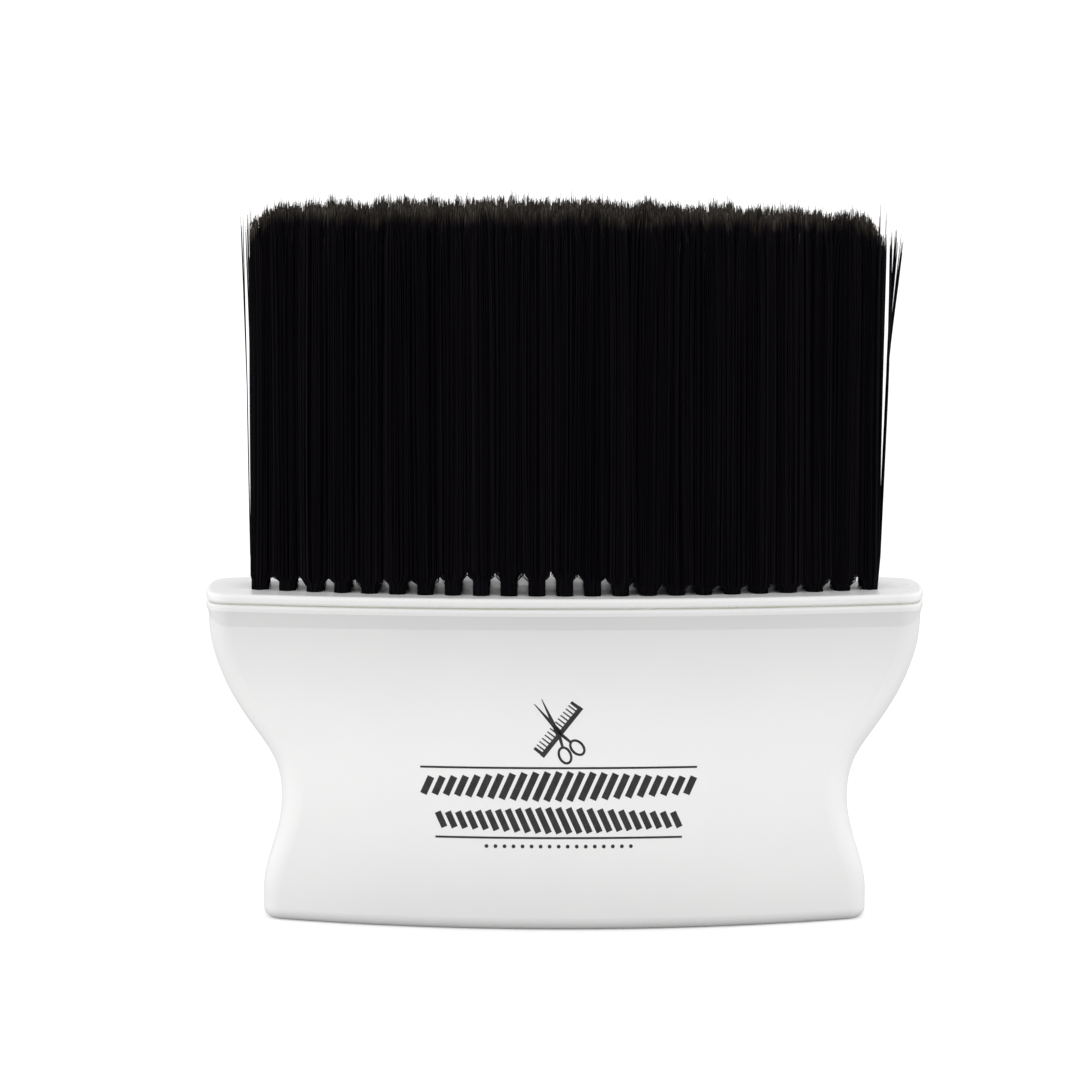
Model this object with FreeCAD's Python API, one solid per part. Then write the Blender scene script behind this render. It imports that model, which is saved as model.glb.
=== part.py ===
"""Neck duster brush: a hollow waisted handle, a tuft plate glued into its mouth, and tufts of soft filament.

Millimetres, +Z up. The origin is the middle of the flat foot that the brush stands on. X runs along the
brush, Y through it, and the front faces -Y. Each tuft is a bundle of filaments folded under a flat wire
anchor at the bottom of its own blind hole. The tufts stand in short rows that run from front to back, side
by side along X, so that straight lanes lie open between them just above the plate.
"""

import FreeCAD
import Part
import math
import os

Vector = FreeCAD.Vector

TOLERANCE = 1e-4

# Overall sizes
HANDLE_HEIGHT = 54.0  # foot to the handle's rim
RIM_HALF_WIDTH = 60.0
RIM_HALF_DEPTH = 18.0
TRIM_HEIGHT = 119.0  # foot to the trimmed tips

# Handle wall
WALL = 2.2
FLOOR = 2.6
FOOT_ROUND = 1.8
LIP_HEIGHT = 1.1
LIP_FLARE_HEIGHT = 3.5
LIP_TUCK = 1.1  # how far inside the skin the lip's flare starts
LIP_ROUND = 0.6
END_RADIUS = 45.0  # how gently the narrow ends bulge
CORE_DRAFT = 0.4  # how much the cavity narrows from the waist down to the floor
TOP_NARROWING = 0.6  # how much thicker the wall is where the cavity meets the mouth
OVERSHOOT = 1.0  # how far a cutting solid runs past the face it opens

# Cross-sections of the handle from the foot up: height, half width, half depth, radius of the long sides,
# radius of the corners. The last one is inside the lip.
SECTIONS = (
    (0.0, 50.9, 16.2, 124.0, 4.2),
    (5.5, 50.6, 15.5, 127.0, 4.5),
    (11.0, 49.4, 14.7, 133.0, 4.8),
    (16.0, 48.0, 14.1, 142.0, 5.0),
    (21.0, 47.5, 13.8, 153.0, 5.2),
    (26.5, 48.5, 13.8, 166.0, 5.3),
    (32.0, 51.9, 14.1, 182.0, 5.3),
    (37.5, 55.5, 14.7, 200.0, 5.2),
    (43.0, 58.0, 15.5, 217.0, 5.0),
    (48.5, 59.4, 16.4, 230.0, 4.8),
    (53.3, 59.85, 17.3, 236.0, 4.6),
)
RIM = (HANDLE_HEIGHT, RIM_HALF_WIDTH, RIM_HALF_DEPTH, 238.0, 4.6)
WAIST = min(SECTIONS, key=lambda section: section[1])

# Mouth, glue and plate
MOUTH_INSET = 2.9  # rim's edge to the straight-walled mouth
MOUTH_DEPTH = 5.6
GLUE_THICKNESS = 0.2
GLUE_INSET = 0.75
FLANGE_THICKNESS = 1.6
FLANGE_TOP_ROUND = 0.7
FLANGE_UNDER_ROUND = 0.5
PLUG_GAP = 0.25  # plate's plug to the mouth's wall, all round
PLUG_FLOOR_GAP = 0.3  # plate's plug to the mouth's ledge
PLATE_BOTTOM = HANDLE_HEIGHT - MOUTH_DEPTH + PLUG_FLOOR_GAP
PLATE_TOP = HANDLE_HEIGHT + GLUE_THICKNESS + FLANGE_THICKNESS

# Tufts
ROWS = 23  # along X
ROW_PITCH = 4.62
TUFT_PITCH = 4.45  # aimed at along Y, within a row
MIDDLE_ROW_HALF = 13.35  # half the length of the middle row, between tuft centres
END_ROW_HALF = 4.55
HOLE_RADIUS = 1.45
HOLE_DEPTH = 5.5
TUFT_RADIUS = 1.42
TUFT_LIFT = 0.03  # tuft's end to the hole's floor
STRAIGHT_HEIGHT = 0.4  # above the plate, where a tuft starts to spread
SPREAD_HEIGHT = 6.5  # above the plate, where a tuft has spread until it meets its neighbours
NEIGHBOUR_GAP = 0.08
TIP_ROUND = 0.8
CORNER_TRIM_START = 44.0  # |X| where the trimmed top starts to fall away
CORNER_TRIM_RADIUS = 12.0

# Wire anchors
ANCHOR_LENGTH = 3.4
ANCHOR_THICKNESS = 0.35
ANCHOR_HEIGHT = 1.8
ANCHOR_LIFT = 0.7  # above the hole's floor, where the folded filaments pass under it
ANCHOR_GAP = 0.02


def outline(half_width, half_depth, side_radius, corner_radius, z):
    """A closed wire of eight tangent arcs: two long sides, two gently bulged ends and four corners."""
    side_centre = Vector(0, half_depth - side_radius, 0)
    end_centre = Vector(half_width - END_RADIUS, 0, 0)
    to_side = side_radius - corner_radius
    to_end = END_RADIUS - corner_radius
    between = end_centre - side_centre
    gap = between.Length
    along = (to_side**2 - to_end**2 + gap**2) / (2 * gap)
    across = math.sqrt(to_side**2 - along**2)
    unit = between / gap
    corner = side_centre + unit * along + Vector(unit.y, -unit.x, 0) * across
    if corner.y < 0:
        raise ValueError(f"the corners cross at z = {z}: {corner.y:.2f}")
    from_side = (corner - side_centre) / to_side
    from_end = (corner - end_centre) / to_end
    side_point = side_centre + from_side * side_radius
    end_point = end_centre + from_end * END_RADIUS
    corner_point = corner + (from_side + from_end).normalize() * corner_radius

    def mirrored(point, sx, sy):
        return Vector(point.x * sx, point.y * sy, z)

    arcs = [(mirrored(side_point, -1, 1), Vector(0, half_depth, z), mirrored(side_point, 1, 1))]
    arcs.append((mirrored(side_point, 1, 1), mirrored(corner_point, 1, 1), mirrored(end_point, 1, 1)))
    arcs.append((mirrored(end_point, 1, 1), Vector(half_width, 0, z), mirrored(end_point, 1, -1)))
    arcs.append((mirrored(end_point, 1, -1), mirrored(corner_point, 1, -1), mirrored(side_point, 1, -1)))
    arcs.append((mirrored(side_point, 1, -1), Vector(0, -half_depth, z), mirrored(side_point, -1, -1)))
    arcs.append((mirrored(side_point, -1, -1), mirrored(corner_point, -1, -1), mirrored(end_point, -1, -1)))
    arcs.append((mirrored(end_point, -1, -1), Vector(-half_width, 0, z), mirrored(end_point, -1, 1)))
    arcs.append((mirrored(end_point, -1, 1), mirrored(corner_point, -1, 1), mirrored(side_point, -1, 1)))
    return Part.Wire([Part.Arc(*points).toShape() for points in arcs])


def inset_outline(section, inset, z):
    """The outline of a cross-section moved inwards by inset, at height z."""
    _, half_width, half_depth, side_radius, corner_radius = section
    corner = max(corner_radius - inset, 1.2)
    return outline(half_width - inset, half_depth - inset, side_radius - inset, corner, z)


def prism(section, inset, bottom, top):
    """A straight-sided solid on the inset outline of a cross-section."""
    face = Part.Face(inset_outline(section, inset, bottom))
    return face.extrude(Vector(0, 0, top - bottom))


def edges_at(shape, z):
    """The edges that lie in the plane at height z."""
    boxes = [(edge, edge.BoundBox) for edge in shape.Edges]
    return [edge for edge, box in boxes if max(abs(box.ZMin - z), abs(box.ZMax - z)) < TOLERANCE]


def lip():
    """The upright band round the rim, and the flare that leads out to it."""
    band_bottom = HANDLE_HEIGHT - LIP_HEIGHT
    band = prism(RIM, 0, band_bottom, HANDLE_HEIGHT)
    band = band.makeFillet(LIP_ROUND, edges_at(band, HANDLE_HEIGHT))
    start = inset_outline(SECTIONS[-1], LIP_TUCK, band_bottom - LIP_FLARE_HEIGHT)
    flare = Part.makeLoft([start, inset_outline(RIM, 0, band_bottom)], True, True)
    return flare.fuse(band)


def handle_shell():
    """The grip: outer skin, a cavity that is straight below the waist, and the mouth that takes the plate."""
    skin = Part.makeLoft([inset_outline(section, 0, section[0]) for section in SECTIONS], True, False)
    skin = skin.makeFillet(FOOT_ROUND, edges_at(skin, 0)).fuse(lip())
    mouth_floor = HANDLE_HEIGHT - MOUTH_DEPTH
    above_waist = [section for section in SECTIONS if WAIST[0] < section[0] < mouth_floor]
    waist = inset_outline(WAIST, WALL, WAIST[0])
    lower = Part.makeLoft([inset_outline(WAIST, WALL + CORE_DRAFT, FLOOR), waist], True, True)
    upper = [waist] + [inset_outline(section, WALL, section[0]) for section in above_waist]
    upper.append(inset_outline(above_waist[-1], WALL + TOP_NARROWING, mouth_floor + OVERSHOOT))
    mouth = prism(RIM, MOUTH_INSET, mouth_floor, HANDLE_HEIGHT + OVERSHOOT)
    return skin.cut(lower).cut(Part.makeLoft(upper, True, False)).cut(mouth)


def row_places():
    """For each row along X, the centres of its tufts as (x, y)."""
    middle = (ROWS - 1) / 2
    rows = []
    for index in range(ROWS):
        offset = (index - middle) / middle
        half = MIDDLE_ROW_HALF - (MIDDLE_ROW_HALF - END_ROW_HALF) * offset**2
        spaces = round(2 * half / TUFT_PITCH)
        x = (index - middle) * ROW_PITCH
        rows.append([(x, half * (2 * n / spaces - 1)) for n in range(spaces + 1)])
    return rows


def anchor(x, y, grow=0.0):
    """One flat wire anchor across a hole, or the slot that holds it when grow is a clearance."""
    corner = Vector(
        x - ANCHOR_LENGTH / 2 - grow,
        y - ANCHOR_THICKNESS / 2 - grow,
        PLATE_TOP - HOLE_DEPTH + ANCHOR_LIFT - grow,
    )
    size = (ANCHOR_LENGTH + 2 * grow, ANCHOR_THICKNESS + 2 * grow, ANCHOR_HEIGHT + 2 * grow)
    return Part.makeBox(*size, corner)


def tuft_plate(rows):
    """The flanged plate with a blind hole for each tuft, notched on both sides where its anchor bites."""
    flange = prism(RIM, 0, HANDLE_HEIGHT + GLUE_THICKNESS, PLATE_TOP)
    flange = flange.makeFillet(FLANGE_TOP_ROUND, edges_at(flange, PLATE_TOP))
    flange = flange.makeFillet(FLANGE_UNDER_ROUND, edges_at(flange, HANDLE_HEIGHT + GLUE_THICKNESS))
    plug = prism(RIM, MOUTH_INSET + PLUG_GAP, PLATE_BOTTOM, PLATE_TOP - FLANGE_THICKNESS / 2)
    holes = []
    for x, y in sum(rows, []):
        bottom = Vector(x, y, PLATE_TOP - HOLE_DEPTH)
        holes.append(Part.makeCylinder(HOLE_RADIUS, HOLE_DEPTH + OVERSHOOT, bottom))
        holes.append(anchor(x, y, ANCHOR_GAP))
    return flange.fuse(plug).cut(Part.makeCompound(holes))


def glue_bead():
    """The ring of adhesive between the handle's rim and the plate's flange."""
    ring = prism(RIM, GLUE_INSET, HANDLE_HEIGHT, HANDLE_HEIGHT + GLUE_THICKNESS)
    inside = prism(RIM, MOUTH_INSET, HANDLE_HEIGHT - OVERSHOOT, HANDLE_HEIGHT + OVERSHOOT)
    return ring.cut(inside)


def trim_height(x):
    """Where the filaments are cut off: level, and falling away in a round at both ends."""
    past = min(max(abs(x) - CORNER_TRIM_START, 0), CORNER_TRIM_RADIUS)
    return TRIM_HEIGHT - (CORNER_TRIM_RADIUS - math.sqrt(CORNER_TRIM_RADIUS**2 - past**2))


def tuft(x, y, full_radius):
    """One tuft as a turned solid: its root in the hole, a cone where it spreads, and its full width above."""
    root = PLATE_TOP - HOLE_DEPTH + TUFT_LIFT
    top = trim_height(x)
    profile = [
        (0, root),
        (TUFT_RADIUS, root),
        (TUFT_RADIUS, PLATE_TOP + STRAIGHT_HEIGHT),
        (full_radius, PLATE_TOP + SPREAD_HEIGHT),
        (full_radius, top - TIP_ROUND),
        (full_radius - TIP_ROUND, top),
        (0, top),
    ]
    wire = Part.makePolygon([Vector(x + r, y, z) for r, z in profile + profile[:1]])
    solid = Part.Face(wire).revolve(Vector(x, y, 0), Vector(0, 0, 1), 360)
    return solid.cut(anchor(x, y, ANCHOR_GAP))


def tuft_row(places):
    """The tufts of one row, as separate solids that stop just short of each other."""
    spacing = places[1][1] - places[0][1]
    full_radius = (min(spacing, ROW_PITCH) - NEIGHBOUR_GAP) / 2
    return Part.makeCompound([tuft(x, y, full_radius) for x, y in places])


def main():
    os.makedirs("parts", exist_ok=True)
    rows = row_places()
    nodes = {
        "handle_shell": handle_shell(),
        "glue_bead": glue_bead(),
        "tuft_plate": tuft_plate(rows),
        "anchor_staples": Part.makeCompound([anchor(x, y) for x, y in sum(rows, [])]),
    }
    for number, places in enumerate(rows, 1):
        nodes[f"tuft_row_{number:02d}"] = tuft_row(places)
    for name, shape in nodes.items():
        shape.exportStep(f"parts/{name}.step")
        print(f"{name}: {len(shape.Solids)} solids, {shape.Volume / 1000:.2f} cm3, valid {shape.isValid()}")


main()
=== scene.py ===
"""Neck duster brush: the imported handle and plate, every filament of every tuft and the printed emblem."""

import math

import bmesh
import bpy
import numpy as np
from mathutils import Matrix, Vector
from mathutils.bvhtree import BVHTree


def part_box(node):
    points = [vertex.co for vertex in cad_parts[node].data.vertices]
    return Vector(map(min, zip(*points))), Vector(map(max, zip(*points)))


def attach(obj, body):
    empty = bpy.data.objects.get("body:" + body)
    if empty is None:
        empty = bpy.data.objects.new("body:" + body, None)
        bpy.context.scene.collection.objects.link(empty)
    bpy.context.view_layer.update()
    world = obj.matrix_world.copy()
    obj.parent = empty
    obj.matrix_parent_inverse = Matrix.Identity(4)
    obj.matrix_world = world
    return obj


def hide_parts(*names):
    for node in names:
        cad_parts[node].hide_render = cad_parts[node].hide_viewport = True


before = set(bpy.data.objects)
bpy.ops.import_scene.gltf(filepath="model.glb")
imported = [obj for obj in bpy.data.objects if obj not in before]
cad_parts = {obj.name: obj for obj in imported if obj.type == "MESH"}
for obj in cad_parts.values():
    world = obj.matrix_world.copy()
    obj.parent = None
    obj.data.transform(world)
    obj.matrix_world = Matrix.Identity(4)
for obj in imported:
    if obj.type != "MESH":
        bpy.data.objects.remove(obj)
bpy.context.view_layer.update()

MM = 0.001  # metres

# Tuft layout, as in the CAD model, in millimetres
ROWS = 23
ROW_PITCH = 4.62
TUFT_PITCH = 4.45
MIDDLE_ROW_HALF = 13.35
END_ROW_HALF = 4.55
HOLE_RADIUS = 1.45

PLATE_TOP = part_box("tuft_plate")[1].z / MM
TRIM_HEIGHT = max(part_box(f"tuft_row_{n:02d}")[1].z for n in range(1, ROWS + 1)) / MM

# Filaments, in millimetres
FILAMENTS = 185  # in each tuft
FILAMENT_RADIUS = 0.092
TIP_RADIUS = 0.035
TIP_TAPER = 0.06  # share of the length over which a filament thins to its tip
ROOT_DEPTH = 2.5  # how far a filament is followed down into its hole
PATH_HEIGHTS = (-ROOT_DEPTH, 0.7, 1.5, 2.3, 3.2, 4.2, 5.6, 9.0)  # of a path's lower points, from the plate
PATH_SHARES = (0.36, 0.58, 0.79, 0.93, 1.0)  # of its upper points, as shares of its length

# Where a filament stands above its tuft
OUTER_REACH = 1.5  # how far a tuft spreads towards the outside of the brush
OVERLAP_X = 0.22  # how far a tuft reaches past the middle of the gap to the next one
OVERLAP_Y = 0.15
SCATTER = 0.13  # unevenness of where it stands
SHARED_LEAN_X = 0.32  # lean and bend that neighbours share
SHARED_LEAN_Y = 0.40
SHARED_BEND_X = 0.22
SHARED_BEND_Y = 0.28
OWN_LEAN = 0.16  # spread of each filament's own
OWN_BEND = 0.10
FAN_START = 45.0  # x past which the right-hand end fans out
FAN_WIDTH = 7.0
FAN_REACH = 0.5

# Bunches that the tips of one tuft gather into
BUNCHES = 8
GATHER_START = 0.90  # share of the length above which the tips gather
GATHER_SHARE = 0.45
BUNCH_UNEVENNESS = 0.5  # spread of length from bunch to bunch

# The trimmed top
UNEVENNESS = 0.50  # spread of length from filament to filament
CUT_WAVE = 0.3  # slow rise and fall along the top
SHORT_SHARE = 0.05  # share of the filaments that stop short
SHORT_BY = (0.5, 5.0)
RIGHT_SLOPE = 0.034  # fall towards each end, per millimetre
RIGHT_SLOPE_START = 2.0
LEFT_SLOPE = 0.02
LEFT_SLOPE_START = -30.0
END_TRIM_START = 46.8  # |x| where the top starts to round off
END_TRIM_RADIUS = 6.0

# Height above the plate at which neighbouring rows meet, at places along the brush
GAP_PLACES = (-51.0, -40.0, -31.0, -24.0, -12.0, 2.0, 12.0, 40.0, 51.0)
GAP_HEIGHTS = (1.6, 1.7, 1.2, 1.9, 3.4, 3.2, 1.2, 0.7, 1.9)

# Printed emblem, in millimetres
INK_PROUD = 0.03
INK_SUNK = 0.02
INK_STEP = 1.2  # longest stretch of a bar between two points on the surface
RING_ROWS = 28
DOT_ROWS = 7
EMBLEM_X = -1.0
COMB_LENGTH = 10.6
COMB_TEETH = 15
COMB_END = 0.35  # from the end of the spine to the middle of the end guard
RULE_WIDTH = 0.35
DOTS = 17
DOT_PITCH = 1.5
DOT_RADIUS = 0.32

# Wisps at each end: how far out the foot, the fork and the tips stand, the height of the fork as a share of
# the wisp's length, the wisp's length as a share of the trimmed length, and the filaments
WISPS = {
    -1: ((0.5, 0.9, 1.7, 0.55, 0.975, 3), (0.1, 0.3, 0.75, 0.70, 0.955, 9), (0.0, 0.1, 0.3, 0.60, 0.965, 8)),
    1: (
        (0.7, 2.1, 4.3, 0.66, 0.905, 7),
        (0.7, 2.0, 3.3, 0.70, 0.92, 9),
        (0.6, 1.8, 2.2, 0.60, 0.915, 12),
        (0.3, 0.8, 1.3, 0.60, 0.945, 10),
        (0.1, 0.4, 0.7, 0.60, 0.955, 8),
    ),
}
WISP_FOOT_SHARE = 0.06  # height of the foot, as a share of the wisp's length
WISP_POINTS = 12

SWEEP = 9.0  # half width of the floor, in metres


# ---------------------------------------------------------------- materials


def new_material(name):
    """A node material, its node tree and its shader node."""
    material = bpy.data.materials.new(name)
    material.use_nodes = True
    tree = material.node_tree
    return material, tree, tree.nodes["Principled BSDF"]


def noise_node(tree, scale, detail=3.0, stretch=(1.0, 1.0, 1.0)):
    """Noise in the object's own space, at a scale given per metre, stretched along the axes."""
    place = tree.nodes.new("ShaderNodeTexCoord")
    mapping = tree.nodes.new("ShaderNodeMapping")
    mapping.inputs["Scale"].default_value = stretch
    noise = tree.nodes.new("ShaderNodeTexNoise")
    noise.inputs["Scale"].default_value = scale
    noise.inputs["Detail"].default_value = detail
    tree.links.new(place.outputs["Object"], mapping.inputs["Vector"])
    tree.links.new(mapping.outputs["Vector"], noise.inputs["Vector"])
    return noise


def ramp_node(tree, source, stops):
    """A colour ramp of (place, colour) stops driven by source."""
    ramp = tree.nodes.new("ShaderNodeValToRGB")
    elements = ramp.color_ramp.elements
    while len(elements) < len(stops):
        elements.new(0.5)
    for element, (place, colour) in zip(elements, stops):
        element.position = place
        element.color = (*colour, 1.0)
    tree.links.new(source, ramp.inputs["Fac"])
    return ramp


def range_node(tree, source, low, high, to_low, to_high):
    """Source mapped from low..high to to_low..to_high, and held there outside them."""
    node = tree.nodes.new("ShaderNodeMapRange")
    node.inputs["From Min"].default_value = low
    node.inputs["From Max"].default_value = high
    node.inputs["To Min"].default_value = to_low
    node.inputs["To Max"].default_value = to_high
    tree.links.new(source, node.inputs["Value"])
    return node


def bump_node(tree, source, distance, strength, normal=None):
    """Bumps from source, on top of the normal that another bump gives."""
    node = tree.nodes.new("ShaderNodeBump")
    node.inputs["Distance"].default_value = distance
    node.inputs["Strength"].default_value = strength
    tree.links.new(source, node.inputs["Height"])
    if normal is not None:
        tree.links.new(normal, node.inputs["Normal"])
    return node


def moulded_plastic(name, pale, shade, roughness):
    """White satin plastic: a faint cast in the colour, uneven gloss and a moulded surface's slow ripple."""
    material, tree, shader = new_material(name)
    cast = noise_node(tree, 45.0, 4.0)
    colour = ramp_node(tree, cast.outputs["Fac"], [(0.3, shade), (0.7, pale)])
    tree.links.new(colour.outputs["Color"], shader.inputs["Base Color"])
    haze = noise_node(tree, 160.0, 6.0)
    gloss = range_node(tree, haze.outputs["Fac"], 0.3, 0.7, roughness - 0.04, roughness + 0.05)
    tree.links.new(gloss.outputs["Result"], shader.inputs["Roughness"])
    grain = bump_node(tree, noise_node(tree, 5200.0, 2.0).outputs["Fac"], 0.00001, 0.25)
    wave = noise_node(tree, 38.0, 1.0)
    ripple = bump_node(tree, wave.outputs["Fac"], 0.0001, 0.30, grain.outputs["Normal"])
    tree.links.new(ripple.outputs["Normal"], shader.inputs["Normal"])
    shader.inputs["IOR"].default_value = 1.49
    return material


def adhesive_material():
    """Cured glue, clear to straw-coloured along its length."""
    material, tree, shader = new_material("cured_adhesive")
    patches = noise_node(tree, 60.0, 3.0)
    stops = [(0.35, (0.74, 0.71, 0.52)), (0.65, (0.88, 0.87, 0.80))]
    colour = ramp_node(tree, patches.outputs["Fac"], stops)
    tree.links.new(colour.outputs["Color"], shader.inputs["Base Color"])
    shader.inputs["Roughness"].default_value = 0.42
    lumps = bump_node(tree, noise_node(tree, 900.0, 2.0).outputs["Fac"], 0.00005, 0.5)
    tree.links.new(lumps.outputs["Normal"], shader.inputs["Normal"])
    return material


def wire_material():
    """Flattened steel wire with drawing lines along X."""
    material, tree, shader = new_material("anchor_wire")
    lines = noise_node(tree, 2500.0, 3.0, (0.1, 1.0, 1.0))
    stops = [(0.3, (0.50, 0.50, 0.49)), (0.7, (0.66, 0.66, 0.64))]
    colour = ramp_node(tree, lines.outputs["Fac"], stops)
    tree.links.new(colour.outputs["Color"], shader.inputs["Base Color"])
    gloss = range_node(tree, lines.outputs["Fac"], 0.3, 0.7, 0.25, 0.45)
    tree.links.new(gloss.outputs["Result"], shader.inputs["Roughness"])
    shader.inputs["Metallic"].default_value = 1.0
    return material


def filament_material():
    """Black filament that varies from strand to strand and pales to brown-grey at its worn tip."""
    material, tree, shader = new_material("black_filament")
    strand = tree.nodes.new("ShaderNodeAttribute")
    strand.attribute_name = "strand"
    channels = tree.nodes.new("ShaderNodeSeparateColor")
    tree.links.new(strand.outputs["Color"], channels.inputs["Color"])
    body = ramp_node(
        tree,
        channels.outputs["Red"],
        [(0.0, (0.0036, 0.0026, 0.0046)), (0.55, (0.0056, 0.0043, 0.0070)), (1.0, (0.0120, 0.0100, 0.0138))],
    )
    tip = ramp_node(
        tree,
        channels.outputs["Red"],
        [(0.0, (0.018, 0.014, 0.012)), (0.6, (0.070, 0.058, 0.047)), (1.0, (0.210, 0.190, 0.160))],
    )
    wear = range_node(tree, channels.outputs["Green"], 0.55, 1.0, 0.0, 1.0)
    mix = tree.nodes.new("ShaderNodeMix")
    mix.data_type = "RGBA"
    tree.links.new(wear.outputs["Result"], mix.inputs["Factor"])
    tree.links.new(body.outputs["Color"], mix.inputs["A"])
    tree.links.new(tip.outputs["Color"], mix.inputs["B"])
    tree.links.new(mix.outputs["Result"], shader.inputs["Base Color"])
    gloss = range_node(tree, channels.outputs["Blue"], 0.0, 1.0, 0.42, 0.66)
    tree.links.new(gloss.outputs["Result"], shader.inputs["Roughness"])
    shader.inputs["Specular IOR Level"].default_value = 0.07
    return material


def ink_material():
    """Pad-printed dark grey ink, slightly thin in places."""
    material, tree, shader = new_material("printed_ink")
    patches = noise_node(tree, 900.0, 5.0)
    stops = [(0.35, (0.016, 0.015, 0.016)), (0.75, (0.034, 0.032, 0.034))]
    colour = ramp_node(tree, patches.outputs["Fac"], stops)
    tree.links.new(colour.outputs["Color"], shader.inputs["Base Color"])
    shader.inputs["Roughness"].default_value = 0.5
    film = bump_node(tree, noise_node(tree, 3000.0, 2.0).outputs["Fac"], 0.00001, 0.3)
    tree.links.new(film.outputs["Normal"], shader.inputs["Normal"])
    return material


def paper_material(name, grey, glow):
    """Seamless paper with fine fibres, which may glow a little."""
    material, tree, shader = new_material(name)
    fibres = noise_node(tree, 900.0, 4.0)
    stops = [(0.3, (grey - 0.01,) * 3), (0.7, (grey + 0.01,) * 3)]
    colour = ramp_node(tree, fibres.outputs["Fac"], stops)
    tree.links.new(colour.outputs["Color"], shader.inputs["Base Color"])
    shader.inputs["Roughness"].default_value = 0.9
    shader.inputs["Specular IOR Level"].default_value = 0.1
    shader.inputs["Emission Color"].default_value = (1.0, 1.0, 1.0, 1.0)
    shader.inputs["Emission Strength"].default_value = glow
    return material


def set_material(node, material):
    """Give a CAD node's object the material."""
    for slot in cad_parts[node].material_slots:
        slot.material = material


# ---------------------------------------------------------------- filaments


def smooth_step(value):
    """0 up to 0, 1 from 1 on, and a smooth rise between them."""
    value = np.clip(value, 0.0, 1.0)
    return value * value * (3.0 - 2.0 * value)


def waves(rng, count, low, high):
    """Directions, wavenumbers and phases of a few random waves, whose lengths lie between low and high."""
    angle = rng.uniform(0.0, 2.0 * math.pi, count)
    wavenumber = 2.0 * math.pi / rng.uniform(low, high, count)
    return angle, wavenumber, rng.uniform(0.0, 2.0 * math.pi, count)


def field(wave_set, x, y):
    """The sum of the waves at each point, in about -1..1."""
    total = 0.0
    for angle, wavenumber, phase in zip(*wave_set):
        total = total + np.sin(wavenumber * (x * math.cos(angle) + y * math.sin(angle)) + phase)
    return total / math.sqrt(len(wave_set[0]))


field_rng = np.random.default_rng(11)
LEAN_X = waves(field_rng, 5, 9.0, 40.0)
LEAN_Y = waves(field_rng, 5, 9.0, 40.0)
BEND_X = waves(field_rng, 5, 5.0, 18.0)
BEND_Y = waves(field_rng, 5, 5.0, 18.0)
CUT = waves(field_rng, 6, 1.6, 14.0)


def row_places():
    """For each row along X, the centres of its tufts as (x, y) in millimetres."""
    middle = (ROWS - 1) / 2
    rows = []
    for index in range(ROWS):
        offset = (index - middle) / middle
        half = MIDDLE_ROW_HALF - (MIDDLE_ROW_HALF - END_ROW_HALF) * offset**2
        spaces = round(2 * half / TUFT_PITCH)
        x = (index - middle) * ROW_PITCH
        rows.append([(x, half * (2 * n / spaces - 1)) for n in range(spaces + 1)])
    return rows


def disc_to_square(x, y):
    """Points of the unit disc moved out to fill the square of half side 1."""
    radius = np.hypot(x, y)
    reach = np.maximum(np.maximum(np.abs(x), np.abs(y)), 1e-9)
    return x * radius / reach, y * radius / reach


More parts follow.
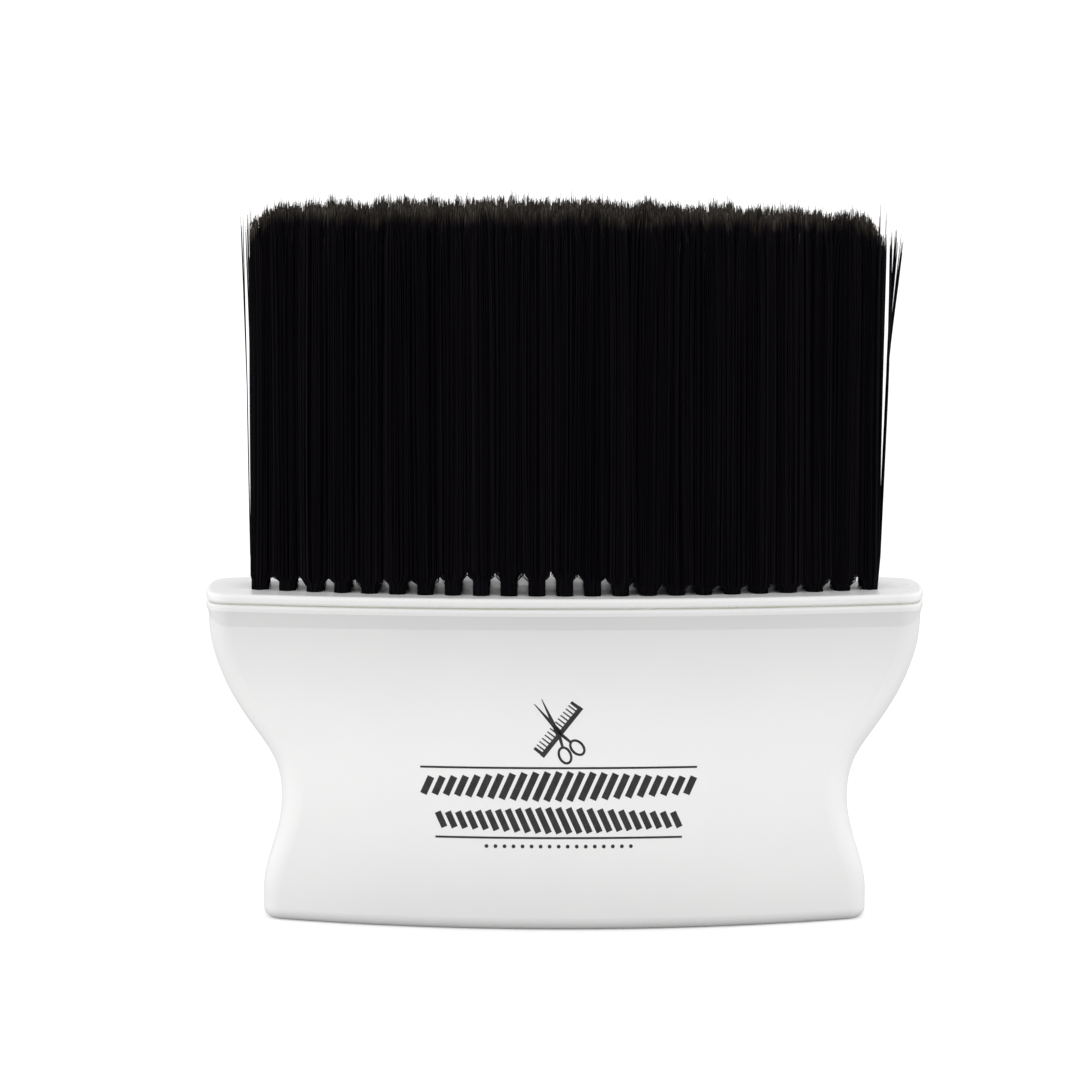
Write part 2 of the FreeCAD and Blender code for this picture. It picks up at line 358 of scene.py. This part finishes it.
def tuft_paths(rng, x, y, spacing, outer_x, outer_y):
    """The paths of one tuft's filaments, as (filaments, points, 3), then tint, tip, gloss and rise.

    outer_x and outer_y are -1 or 1 where that side of the tuft is on the outside of the brush, else 0.
    """
    count = FILAMENTS
    radius = (HOLE_RADIUS - FILAMENT_RADIUS) * np.sqrt(rng.uniform(0.0, 1.0, count))
    angle = rng.uniform(0.0, 2.0 * math.pi, count)
    root_x = radius * np.cos(angle)
    root_y = radius * np.sin(angle)
    square_x, square_y = disc_to_square(root_x / HOLE_RADIUS, root_y / HOLE_RADIUS)
    reach_x = np.where(square_x * outer_x > 0.0, OUTER_REACH, ROW_PITCH / 2 + OVERLAP_X)
    reach_y = np.where(square_y * outer_y > 0.0, OUTER_REACH, spacing / 2 + OVERLAP_Y)
    cell_x = square_x * reach_x + rng.normal(0.0, SCATTER, count)
    cell_y = square_y * reach_y + rng.normal(0.0, SCATTER, count)

    # Bunches that the tips gather into
    bunch_x = rng.uniform(-ROW_PITCH / 2, ROW_PITCH / 2, BUNCHES)
    bunch_y = rng.uniform(-spacing / 2, spacing / 2, BUNCHES)
    distance = np.hypot(cell_x[:, None] - bunch_x, cell_y[:, None] - bunch_y)
    nearest = distance.argmin(axis=1)
    gather_x = bunch_x[nearest] - cell_x
    gather_y = bunch_y[nearest] - cell_y
    bunch_length = rng.normal(0.0, BUNCH_UNEVENNESS, BUNCHES)[nearest]

    # How long each filament is
    end_x = x + cell_x
    past = np.clip(np.abs(end_x) - END_TRIM_START, 0.0, END_TRIM_RADIUS)
    corner = END_TRIM_RADIUS - np.sqrt(END_TRIM_RADIUS**2 - past**2)
    slope = RIGHT_SLOPE * np.clip(end_x - RIGHT_SLOPE_START, 0.0, None)
    slope = slope + LEFT_SLOPE * np.clip(LEFT_SLOPE_START - end_x, 0.0, None)
    length = TRIM_HEIGHT - PLATE_TOP - corner - slope
    length = length + bunch_length + rng.normal(0.0, UNEVENNESS, count)
    length = length + CUT_WAVE * field(CUT, end_x, y + cell_y)
    short = rng.uniform(0.0, 1.0, count) < SHORT_SHARE
    length = np.where(short, length - rng.uniform(*SHORT_BY, count), length)

    # Heights of the path's points above the plate
    lower = np.broadcast_to(PATH_HEIGHTS, (count, len(PATH_HEIGHTS)))
    height = np.concatenate([lower, length[:, None] * np.array(PATH_SHARES)], axis=1)
    rise = height / length[:, None]

    # From the hole to the filament's own place in the cell
    gap = float(np.interp(x, GAP_PLACES, GAP_HEIGHTS)) + rng.uniform(-0.25, 0.25)
    start = gap * rng.uniform(0.75, 1.0, (count, 1))
    reach = rng.uniform(0.5, 1.5, (count, 1))
    spread = smooth_step((height - start) / reach)
    path_x = x + root_x[:, None] * (1.0 - spread) + cell_x[:, None] * spread
    path_y = y + root_y[:, None] * (1.0 - spread) + cell_y[:, None] * spread

    # Lean and bend, then the bunches
    lean = np.clip(rise, 0.0, 1.0) ** 1.6
    bend = np.sin(math.pi * np.clip(rise, 0.0, 1.0)) * spread
    here = (end_x[:, None], y + cell_y[:, None])
    lean_x = SHARED_LEAN_X * field(LEAN_X, *here) + rng.normal(0.0, OWN_LEAN, (count, 1))
    bend_x = SHARED_BEND_X * field(BEND_X, *here) + rng.normal(0.0, OWN_BEND, (count, 1))
    lean_y = SHARED_LEAN_Y * field(LEAN_Y, *here) + rng.normal(0.0, OWN_LEAN, (count, 1))
    bend_y = SHARED_BEND_Y * field(BEND_Y, *here) + rng.normal(0.0, OWN_BEND, (count, 1))
    path_x = path_x + lean * lean_x + bend * bend_x
    path_y = path_y + lean * lean_y + bend * bend_y
    gather = GATHER_SHARE * smooth_step((rise - GATHER_START) / (1.0 - GATHER_START))
    path_x = path_x + gather * gather_x[:, None]
    path_y = path_y + gather * gather_y[:, None]

    # The right-hand end fans out a little
    outer = np.clip((end_x - FAN_START) / FAN_WIDTH, 0.0, 1.0)[:, None]
    fan = FAN_REACH * outer**1.3 * np.clip(rise, 0.0, 1.0) ** 1.2
    path_x = path_x + fan * rng.uniform(0.7, 1.0, (count, 1))

    tint = np.clip(rng.beta(1.6, 3.0, count) + 0.18 * field(CUT, end_x, y + cell_y), 0.0, 1.0)
    from_tip = (length[:, None] - height) / rng.uniform(1.2, 3.2, (count, 1))
    tip = np.clip(1.0 - from_tip, 0.0, 1.0)
    gloss = rng.uniform(0.0, 1.0, count)
    points = np.stack([path_x, path_y, height + PLATE_TOP], axis=2)
    return points, tint, tip, gloss, rise


def tube_mesh(name, points, tint, tip, gloss, rise):
    """Three-sided tapering tubes round every path, as one mesh with the strand values on its vertices."""
    count, steps, _ = points.shape
    turn = np.random.default_rng(count).uniform(0.0, 2.0 * math.pi, (count, 1, 1))
    around = turn + np.arange(3).reshape(1, 1, 3) * (2.0 * math.pi / 3.0)
    fullness = np.clip((1.0 - rise) / TIP_TAPER, 0.0, 1.0) ** 0.7
    radius = TIP_RADIUS + (FILAMENT_RADIUS - TIP_RADIUS) * fullness
    ring = np.stack([np.cos(around), np.sin(around), np.zeros_like(around)], axis=3)
    corners = points[:, :, None, :] + ring * radius[:, :, None, None]
    corners = corners.reshape(-1, 3) * MM

    base = (np.arange(count)[:, None, None] * steps + np.arange(steps - 1)[None, :, None]) * 3
    side = np.arange(3)[None, None, :]
    other = (side + 1) % 3
    quads = np.stack([base + side, base + other, base + 3 + other, base + 3 + side], axis=3).reshape(-1, 4)
    first = (np.arange(count) * steps * 3)[:, None]
    last = first + (steps - 1) * 3
    bottoms = np.concatenate([first + 2, first + 1, first], axis=1)
    tops = np.concatenate([last, last + 1, last + 2], axis=1)
    loops = np.concatenate([quads.ravel(), bottoms.ravel(), tops.ravel()])
    sizes = np.concatenate([np.full(len(quads), 4), np.full(2 * count, 3)])
    starts = np.concatenate([[0], np.cumsum(sizes)[:-1]])

    mesh = bpy.data.meshes.new(name)
    mesh.vertices.add(len(corners))
    mesh.vertices.foreach_set("co", corners.ravel())
    mesh.loops.add(len(loops))
    mesh.loops.foreach_set("vertex_index", loops.astype(np.int32))
    mesh.polygons.add(len(sizes))
    mesh.polygons.foreach_set("loop_start", starts.astype(np.int32))
    mesh.update(calc_edges=True)
    mesh.polygons.foreach_set("use_smooth", np.ones(len(sizes), dtype=bool))

    values = np.ones((count, steps, 3, 4))
    values[..., 0] = tint[:, None, None]
    values[..., 1] = tip[:, :, None]
    values[..., 2] = gloss[:, None, None]
    layer = mesh.color_attributes.new("strand", "FLOAT_COLOR", "POINT")
    layer.data.foreach_set("color", values.ravel())
    return mesh


def add_piece(name, mesh, material):
    """A new object that rides with the brush and takes the named material slot."""
    piece = bpy.data.objects.new(name, mesh)
    mesh.materials.append(material)
    bpy.context.scene.collection.objects.link(piece)
    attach(piece, "root")
    return piece


def outer_side(index, count):
    """-1 for the first of count, 1 for the last and 0 for the others."""
    return (index == count - 1) - (index == 0)


def wisp_paths(rng, side):
    """Loose filaments that stand clear of the end of the brush, in small wisps."""
    parts = []
    for foot, fork, end, fork_share, share, number in WISPS[side]:
        y = rng.uniform(-5.0, 5.0)
        x = side * (ROW_PITCH * (ROWS - 1) / 2 + HOLE_RADIUS - 0.2)
        length = (TRIM_HEIGHT - PLATE_TOP) * share + rng.normal(0.0, 1.4, number)
        shares = np.linspace(0.0, 1.0, WISP_POINTS)
        height = np.concatenate([np.full((number, 1), -ROOT_DEPTH), length[:, None] * shares[1:]], axis=1)
        rise = np.clip(height / length[:, None], 0.0, 1.0)
        out = np.interp(rise, (0.0, WISP_FOOT_SHARE, fork_share, 1.0), (0.0, foot, fork, end))
        loose = rng.normal(0.0, 0.05, (number, 1)) * np.sin(math.pi * rise)
        loose = loose + rng.normal(0.0, 0.15, (number, 1)) * rise**3
        path_x = x + side * out + loose
        path_y = y + rng.normal(0.0, 0.15, (number, 1)) + rng.normal(0.0, 0.5) * rise
        points = np.stack([path_x, path_y, height + PLATE_TOP], axis=2)
        tip = np.clip(1.0 - (length[:, None] - height) / 2.5, 0.0, 1.0)
        parts.append((points, rng.beta(1.6, 3.0, number), tip, rng.uniform(0.0, 1.0, number), rise))
    return [np.concatenate(group) for group in zip(*parts)]


def build_filaments(material):
    """One mesh of filaments for each row of tufts, in place of the row's plain solids, and the loose ones."""
    for number, places in enumerate(row_places(), 1):
        rng = np.random.default_rng(500 + number)
        spacing = places[1][1] - places[0][1]
        outer_x = outer_side(number - 1, ROWS)
        parts = []
        for index, (x, y) in enumerate(places):
            parts.append(tuft_paths(rng, x, y, spacing, outer_x, outer_side(index, len(places))))
        joined = [np.concatenate(group) for group in zip(*parts)]
        name = f"filaments_{number:02d}"
        piece = add_piece(name, tube_mesh(name, *joined), material)
        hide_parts(f"tuft_row_{number:02d}")
    for side, name in ((-1, "loose_filaments_left"), (1, "loose_filaments_right")):
        paths = wisp_paths(np.random.default_rng(40 + side), side)
        add_piece(name, tube_mesh(name, *paths), material)


# ---------------------------------------------------------------- printed emblem


def turned(place, centre, angle):
    """A place given from centre, with the drawing turned by angle."""
    x, z = place
    return (
        centre[0] + x * math.cos(angle) - z * math.sin(angle),
        centre[1] + x * math.sin(angle) + z * math.cos(angle),
    )


class Print:
    """Thin slabs of ink laid on the front of the handle, drawn in millimetres across (x) and up (z)."""

    def __init__(self):
        self.mesh = bmesh.new()
        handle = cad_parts["handle_shell"]
        self.surface = BVHTree.FromObject(handle, bpy.context.evaluated_depsgraph_get())

    def point(self, place, lift):
        """A vertex that stands in front of the handle's front face at a place, by lift millimetres."""
        x, z = place
        hit = self.surface.ray_cast(Vector((x * MM, -0.1, z * MM)), Vector((0.0, 1.0, 0.0)))[0]
        return self.mesh.verts.new((hit.x, hit.y - lift * MM, hit.z))

    def slab(self, rows, ring=False):
        """A slab over rows of places, all of the same number. A ring's last row joins its first."""
        front = [[self.point(place, INK_PROUD) for place in row] for row in rows]
        back = [[self.point(place, -INK_SUNK) for place in row] for row in rows]
        last = len(rows) if ring else len(rows) - 1
        width = len(rows[0])
        for n in range(last):
            m = (n + 1) % len(rows)
            for k in range(width - 1):
                self.mesh.faces.new((front[n][k], front[n][k + 1], front[m][k + 1], front[m][k]))
                self.mesh.faces.new((back[n][k], back[m][k], back[m][k + 1], back[n][k + 1]))
            for k, (one, two) in ((0, (m, n)), (width - 1, (n, m))):
                self.mesh.faces.new((front[one][k], back[one][k], back[two][k], front[two][k]))
        if not ring:
            for n, order in ((0, 1), (last, -1)):
                for k in range(width - 1):
                    one, two = (k, k + 1)[::order]
                    self.mesh.faces.new((front[n][one], back[n][one], back[n][two], front[n][two]))

    def bar(self, start, end, width_start, width_end):
        """A straight bar that may taper."""
        start, end = Vector(start), Vector(end)
        along = end - start
        across = Vector((-along.y, along.x)).normalized() / 2
        steps = max(1, math.ceil(along.length / INK_STEP))
        rows = []
        for n in range(steps + 1):
            share = n / steps
            middle = start + along * share
            reach = across * (width_start + (width_end - width_start) * share)
            rows.append([middle - reach, middle + reach])
        self.slab(rows)

    def ring(self, centre, radii, width, turn):
        """An oval ring with the two half axes given, turned by an angle."""
        rows = []
        for n in range(RING_ROWS):
            angle = 2 * math.pi * n / RING_ROWS
            row = []
            for grow in (-width / 2, width / 2):
                x = (radii[0] + grow) * math.cos(angle)
                z = (radii[1] + grow) * math.sin(angle)
                row.append(turned((x, z), centre, turn))
            rows.append(row)
        self.slab(rows, ring=True)

    def dot(self, centre, radius):
        """A round dot, as a slab over upright rows of two places."""
        rows = []
        for n in range(DOT_ROWS):
            angle = math.pi * (n + 0.5) / DOT_ROWS
            x = centre[0] - radius * math.cos(angle)
            reach = radius * math.sin(angle)
            rows.append([(x, centre[1] - reach), (x, centre[1] + reach)])
        self.slab(rows)

    def finish(self, name):
        """The drawing as a mesh with its faces turned outwards."""
        bmesh.ops.recalc_face_normals(self.mesh, faces=self.mesh.faces)
        mesh = bpy.data.meshes.new(name)
        self.mesh.to_mesh(mesh)
        self.mesh.free()
        return mesh


def draw_comb(ink, centre, angle):
    """A comb, upright until it's turned: its spine, its two end guards and its teeth."""

    def place(x, z):
        return turned((x, z), centre, angle)

    half = COMB_LENGTH / 2
    ink.bar(place(0.75, -half), place(0.75, half), 0.8, 0.8)
    for n in range(COMB_TEETH):
        z = -half + COMB_END + n * (COMB_LENGTH - 2 * COMB_END) / (COMB_TEETH - 1)
        width = 0.6 if n in (0, COMB_TEETH - 1) else 0.26
        ink.bar(place(0.42, z), place(-1.15, z), width, width * 0.8)


def draw_scissors(ink, centre, angle, opening):
    """Scissors: two blades that cross at a pivot, with an oval bow at the end of each."""
    for side in (-1, 1):
        lean = angle + side * opening
        heel, point = turned((side * 0.12, -0.6), centre, lean), turned((side * 0.2, 6.0), centre, lean)
        ink.bar(heel, point, 0.85, 0.12)
        pivot, neck = turned((0.0, -0.5), centre, lean), turned((side * 0.35, -2.9), centre, lean)
        ink.bar(pivot, neck, 0.6, 0.42)
        ink.ring(turned((side * 0.55, -4.3), centre, lean), (0.95, 1.4), 0.42, lean)


def draw_striped_band(ink, centre, length, height, pitch, width, slant):
    """A band of slanted bars, shorter towards its ends."""
    count = round(length / pitch)
    for n in range(count):
        place = n - (count - 1) / 2
        x = centre[0] + place * pitch
        reach = height / 2 * (0.80 + 0.20 * math.cos(2 * math.pi * place / count))
        ink.bar((x - reach * slant, centre[1] - reach), (x + reach * slant, centre[1] + reach), width, width)


def draw_rule(ink, centre, length):
    """A thin straight line across."""
    x, z = centre
    ink.bar((x - length / 2, z), (x + length / 2, z), RULE_WIDTH, RULE_WIDTH)


def build_emblem():
    """A plain barber's emblem: a comb and scissors crossed over two striped bands and a row of dots."""
    ink = Print()
    draw_comb(ink, (EMBLEM_X - 0.1, 33.6), math.radians(-38.0))
    draw_scissors(ink, (EMBLEM_X - 0.2, 33.3), math.radians(33.0), math.radians(9.0))
    draw_rule(ink, (EMBLEM_X, 27.0), 46.0)
    draw_striped_band(ink, (EMBLEM_X, 23.9), length=45.0, height=4.8, pitch=1.9, width=1.15, slant=0.45)
    draw_striped_band(ink, (EMBLEM_X, 18.2), length=40.0, height=4.2, pitch=1.7, width=1.05, slant=-0.45)
    draw_rule(ink, (EMBLEM_X, 15.3), 41.0)
    for n in range(DOTS):
        ink.dot((EMBLEM_X + (n - (DOTS - 1) / 2) * DOT_PITCH, 13.9), DOT_RADIUS)
    add_piece("printed_emblem", ink.finish("printed_emblem"), ink_material())


# ---------------------------------------------------------------- stage


def add_sheet(name, height, material):
    """A square level sheet of the stage."""
    mesh = bpy.data.meshes.new(name)
    corners = [(x * SWEEP, y * SWEEP, height) for x, y in ((-1, -1), (1, -1), (1, 1), (-1, 1))]
    mesh.from_pydata(corners, [], [(0, 1, 2, 3)])
    sheet = bpy.data.objects.new(name, mesh)
    mesh.materials.append(material)
    bpy.context.scene.collection.objects.link(sheet)
    return sheet


def build_stage():
    """A white floor that only the camera sees, and just under it a grey one that sends light back up."""
    seen = add_sheet("paper_sweep", 0.0, paper_material("studio_paper", 0.94, 0.22))
    seen.visible_diffuse = False
    seen.visible_glossy = False
    seen.visible_shadow = False
    bounce = add_sheet("bounce_card", -0.0002, paper_material("bounce_paper", 0.46, 0.0))
    bounce.visible_camera = False


def add_softbox(name, place, target, size, spread, power):
    """A rectangular softbox that points at target. Its size is across and up, and its spread in degrees."""
    light = bpy.data.lights.new(name, "AREA")
    light.shape = "RECTANGLE"
    light.size, light.size_y = size
    light.spread = math.radians(spread)
    light.energy = power
    lamp = bpy.data.objects.new(name, light)
    lamp.location = place
    lamp.rotation_euler = (Vector(place) - Vector(target)).to_track_quat("Z", "Y").to_euler()
    lamp.visible_camera = False
    lamp.visible_glossy = False
    bpy.context.scene.collection.objects.link(lamp)


def build_lights():
    """A white room, a narrow strip light for the middle of the handle's front, and a low box at each end."""
    world = bpy.data.worlds.new("soft_white_room")
    world.use_nodes = True
    background = world.node_tree.nodes["Background"]
    background.inputs["Color"].default_value = (1.0, 1.0, 1.0, 1.0)
    background.inputs["Strength"].default_value = 1.01
    bpy.context.scene.world = world
    place, target = (0.0, -0.45, 0.030), (0.0, 0.0, 0.030)
    add_softbox("front_strip", place, target, size=(0.6, 0.02), spread=9.0, power=0.021)
    for side, name, power in ((-1, "left_box", 0.28), (1, "right_box", 0.22)):
        place, target = (side * 0.35, 0.0, 0.008), (side * 0.05, 0.0, 0.035)
        add_softbox(name, place, target, size=(0.2, 0.012), spread=180.0, power=power)


def build_camera():
    """A long lens in front of the brush, a little to the left of its middle, looking slightly down."""
    camera = bpy.data.cameras.new("camera")
    camera.lens = 200.5
    camera.sensor_width = 36.0
    camera.clip_start = 0.05
    camera.clip_end = 50.0
    holder = bpy.data.objects.new("camera", camera)
    holder.location = (-0.0041, -1.0, 0.1843)
    holder.rotation_euler = (math.radians(90.0 - 6.89), 0.0, 0.0)
    bpy.context.scene.collection.objects.link(holder)
    bpy.context.scene.camera = holder


build_camera()
build_stage()
build_lights()
bpy.context.scene.view_settings.view_transform = "Standard"

handle_plastic = moulded_plastic("handle_plastic", (0.87, 0.87, 0.865), (0.85, 0.85, 0.848), 0.32)
plate_plastic = moulded_plastic("plate_plastic", (0.94, 0.94, 0.935), (0.92, 0.92, 0.915), 0.30)
set_material("handle_shell", handle_plastic)
set_material("tuft_plate", plate_plastic)
set_material("glue_bead", adhesive_material())
set_material("anchor_staples", wire_material())
build_filaments(filament_material())
build_emblem()
